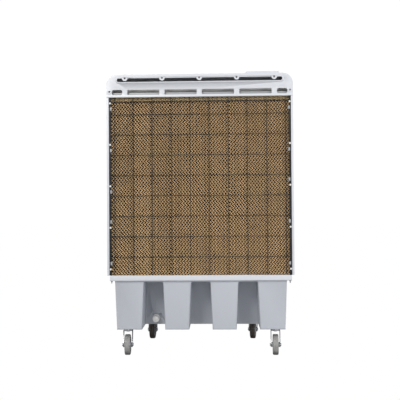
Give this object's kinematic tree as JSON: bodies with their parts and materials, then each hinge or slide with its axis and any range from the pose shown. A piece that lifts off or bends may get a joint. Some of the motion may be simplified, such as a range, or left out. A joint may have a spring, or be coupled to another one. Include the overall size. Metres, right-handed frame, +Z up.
{
  "type": "evaporative cooler",
  "caption": "Portable evaporative cooler: pleated paper pad behind a wire net, water tank below, cap on top, fan and louvred outlet behind, on swivel castors.",
  "frame": {"origin": "on the floor, under the middle of the cabinet's bounding box", "axes": "+Z up; -Y is the pad side, where air goes in; +Y is the outlet side; +X is to the right seen from the pad side"},
  "size_m": [0.9, 0.6, 1.382],
  "materials": {
    "tank_plastic": "satin",
    "shell_plastic": "satin",
    "white_plastic": "gloss",
    "grey_plastic": "satin",
    "black_plastic": "satin",
    "red_plastic": "gloss",
    "orange_plastic": "gloss",
    "clear_plastic": "gloss",
    "display": "gloss",
    "black_rubber": "matte",
    "tyre_rubber": "satin",
    "zinc": "satin",
    "dark_steel": "satin",
    "black_steel": "satin",
    "black_wire": "satin",
    "motor_paint": "satin",
    "brass": "satin",
    "pad_paper": "matte",
    "pad_paper_new": "matte"
  },
  "bodies": {
    "cabinet": {"tank_walls": "tank_plastic", "tank_grooves": "tank_plastic", "tank_floor_plate": "tank_plastic", "tank_bolts": "zinc", "drain_collar": "white_plastic", "level_window": "clear_plastic", "castor_plates": "zinc", "left_side_panel": "shell_plastic", "right_side_panel": "shell_plastic", "front_panel": "shell_plastic", "top_panel": "shell_plastic", "rear_cap": "shell_plastic", "cap_screws": "dark_steel", "pad_net": "black_wire", "net_screws": "white_plastic", "net_clips": "grey_plastic", "main_pad": "pad_paper", "distributor_pad": "pad_paper_new", "water_trough": "grey_plastic", "spray_pipe": "white_plastic", "riser_hose": "black_rubber", "pump": "black_plastic", "float_valve": "brass", "water_inlet": "brass", "cable_gland": "black_plastic", "fan_shroud": "black_plastic", "motor_bracket": "black_steel", "fan_motor": "motor_paint", "outlet_frame": "shell_plastic", "control_panel": "black_plastic", "display_window": "display"},
    "drain_cap_body": {"drain_cap": "white_plastic"},
    "fill_door_body": {"fill_door": "shell_plastic"},
    "fork_1": {"castor_fork_1": "zinc"},
    "fork_2": {"castor_fork_2": "zinc"},
    "fork_3": {"castor_fork_3": "zinc"},
    "fork_4": {"castor_fork_4": "zinc"},
    "wheel_1": {"wheel_hub_1": "grey_plastic", "wheel_tyre_1": "tyre_rubber"},
    "wheel_2": {"wheel_hub_2": "grey_plastic", "wheel_tyre_2": "tyre_rubber"},
    "wheel_3": {"wheel_hub_3": "grey_plastic", "wheel_tyre_3": "tyre_rubber"},
    "wheel_4": {"wheel_hub_4": "grey_plastic", "wheel_tyre_4": "tyre_rubber"},
    "top_lid_body": {"top_lid": "shell_plastic"},
    "float_arm_body": {"float_arm": "orange_plastic"},
    "fan": {"fan_shaft": "zinc", "fan_rotor": "black_plastic"},
    "louvre_1_body": {"louvre_1": "shell_plastic"},
    "louvre_2_body": {"louvre_2": "shell_plastic"},
    "louvre_3_body": {"louvre_3": "shell_plastic"},
    "louvre_4_body": {"louvre_4": "shell_plastic"},
    "louvre_5_body": {"louvre_5": "shell_plastic"},
    "deflector_1_body": {"deflector_1": "black_plastic"},
    "deflector_2_body": {"deflector_2": "black_plastic"},
    "deflector_3_body": {"deflector_3": "black_plastic"},
    "speed_knob_body": {"speed_knob": "grey_plastic"},
    "power_button_body": {"power_button": "red_plastic"},
    "swing_button_body": {"swing_button": "white_plastic"}
  },
  "joints": [
    {"name": "castor_1_swivel", "type": "hinge", "parent": "cabinet", "child": "fork_1", "pos_m": [-0.366, -0.188, 0.118], "axis": [0, 0, 1], "continuous": true},
    {"name": "castor_1_wheel", "type": "hinge", "parent": "fork_1", "child": "wheel_1", "pos_m": [-0.36377, -0.21992, 0.05], "axis": [0.9976, 0.0698, 0], "continuous": true},
    {"name": "castor_2_swivel", "type": "hinge", "parent": "cabinet", "child": "fork_2", "pos_m": [0.366, -0.188, 0.118], "axis": [0, 0, 1], "continuous": true},
    {"name": "castor_2_wheel", "type": "hinge", "parent": "fork_2", "child": "wheel_2", "pos_m": [0.36377, -0.21992, 0.05], "axis": [0.9976, -0.0698, 0], "continuous": true},
    {"name": "castor_3_swivel", "type": "hinge", "parent": "cabinet", "child": "fork_3", "pos_m": [-0.28, 0.198, 0.118], "axis": [0, 0, 1], "continuous": true},
    {"name": "castor_3_wheel", "type": "hinge", "parent": "fork_3", "child": "wheel_3", "pos_m": [-0.28112, 0.16602, 0.05], "axis": [0.9994, -0.0349, 0], "continuous": true},
    {"name": "castor_4_swivel", "type": "hinge", "parent": "cabinet", "child": "fork_4", "pos_m": [0.28, 0.198, 0.118], "axis": [0, 0, 1], "continuous": true},
    {"name": "castor_4_wheel", "type": "hinge", "parent": "fork_4", "child": "wheel_4", "pos_m": [0.27499, 0.16639, 0.05], "axis": [0.9877, -0.1564, 0], "continuous": true},
    {"name": "drain_cap_turn", "type": "hinge", "parent": "cabinet", "child": "drain_cap_body", "pos_m": [-0.229, -0.17, 0.168], "axis": [0, -1, 0], "range_deg": [0, 720]},
    {"name": "fill_door_hinge", "type": "hinge", "parent": "cabinet", "child": "fill_door_body", "pos_m": [0.22, 0.2335, 0.2844], "axis": [-1, 0, 0], "range_deg": [0, 60]},
    {"name": "top_lid_hinge", "type": "hinge", "parent": "cabinet", "child": "top_lid_body", "pos_m": [0.305, -0.193, 1.376], "axis": [-1, 0, 0], "range_deg": [0, 100]},
    {"name": "float_arm_pivot", "type": "hinge", "parent": "cabinet", "child": "float_arm_body", "pos_m": [-0.2, 0.2, 0.318], "axis": [1, 0, 0], "range_deg": [-12, 25]},
    {"name": "fan_spin", "type": "hinge", "parent": "cabinet", "child": "fan", "pos_m": [0, 0.131, 0.82], "axis": [0, 1, 0], "continuous": true},
    {"name": "louvre_1_tilt", "type": "hinge", "parent": "cabinet", "child": "louvre_1_body", "pos_m": [0, 0.268, 0.5896], "axis": [1, 0, 0], "range_deg": [-40, 40]},
    {"name": "louvre_2_tilt", "type": "hinge", "parent": "cabinet", "child": "louvre_2_body", "pos_m": [0, 0.268, 0.7048], "axis": [1, 0, 0], "range_deg": [-40, 40]},
    {"name": "louvre_3_tilt", "type": "hinge", "parent": "cabinet", "child": "louvre_3_body", "pos_m": [0, 0.268, 0.82], "axis": [1, 0, 0], "range_deg": [-40, 40]},
    {"name": "louvre_4_tilt", "type": "hinge", "parent": "cabinet", "child": "louvre_4_body", "pos_m": [0, 0.268, 0.9352], "axis": [1, 0, 0], "range_deg": [-40, 40]},
    {"name": "louvre_5_tilt", "type": "hinge", "parent": "cabinet", "child": "louvre_5_body", "pos_m": [0, 0.268, 1.0504], "axis": [1, 0, 0], "range_deg": [-40, 40]},
    {"name": "deflector_1_swing", "type": "hinge", "parent": "cabinet", "child": "deflector_1_body", "pos_m": [-0.192, 0.216, 0.82], "axis": [0, 0, 1], "range_deg": [-40, 40]},
    {"name": "deflector_2_swing", "type": "hinge", "parent": "cabinet", "child": "deflector_2_body", "pos_m": [0, 0.216, 0.82], "axis": [0, 0, 1], "range_deg": [-40, 40]},
    {"name": "deflector_3_swing", "type": "hinge", "parent": "cabinet", "child": "deflector_3_body", "pos_m": [0.192, 0.216, 0.82], "axis": [0, 0, 1], "range_deg": [-40, 40]},
    {"name": "speed_knob_turn", "type": "hinge", "parent": "cabinet", "child": "speed_knob_body", "pos_m": [0.14, 0.216, 1.225], "axis": [0, -1, 0], "range_deg": [0, 270]},
    {"name": "power_button_press", "type": "slide", "parent": "cabinet", "child": "power_button_body", "axis": [0, -1, 0], "range_m": [0, 0.003], "stiffness_N_per_m": 300},
    {"name": "swing_button_press", "type": "slide", "parent": "cabinet", "child": "swing_button_body", "axis": [0, -1, 0], "range_m": [0, 0.003], "stiffness_N_per_m": 300}
  ],
  "couplings": [
    {"joint": "louvre_2_tilt", "follows": "louvre_1_tilt", "ratio": 1},
    {"joint": "louvre_3_tilt", "follows": "louvre_1_tilt", "ratio": 1},
    {"joint": "louvre_4_tilt", "follows": "louvre_1_tilt", "ratio": 1},
    {"joint": "louvre_5_tilt", "follows": "louvre_1_tilt", "ratio": 1},
    {"joint": "deflector_2_swing", "follows": "deflector_1_swing", "ratio": 1},
    {"joint": "deflector_3_swing", "follows": "deflector_1_swing", "ratio": 1}
  ]
}
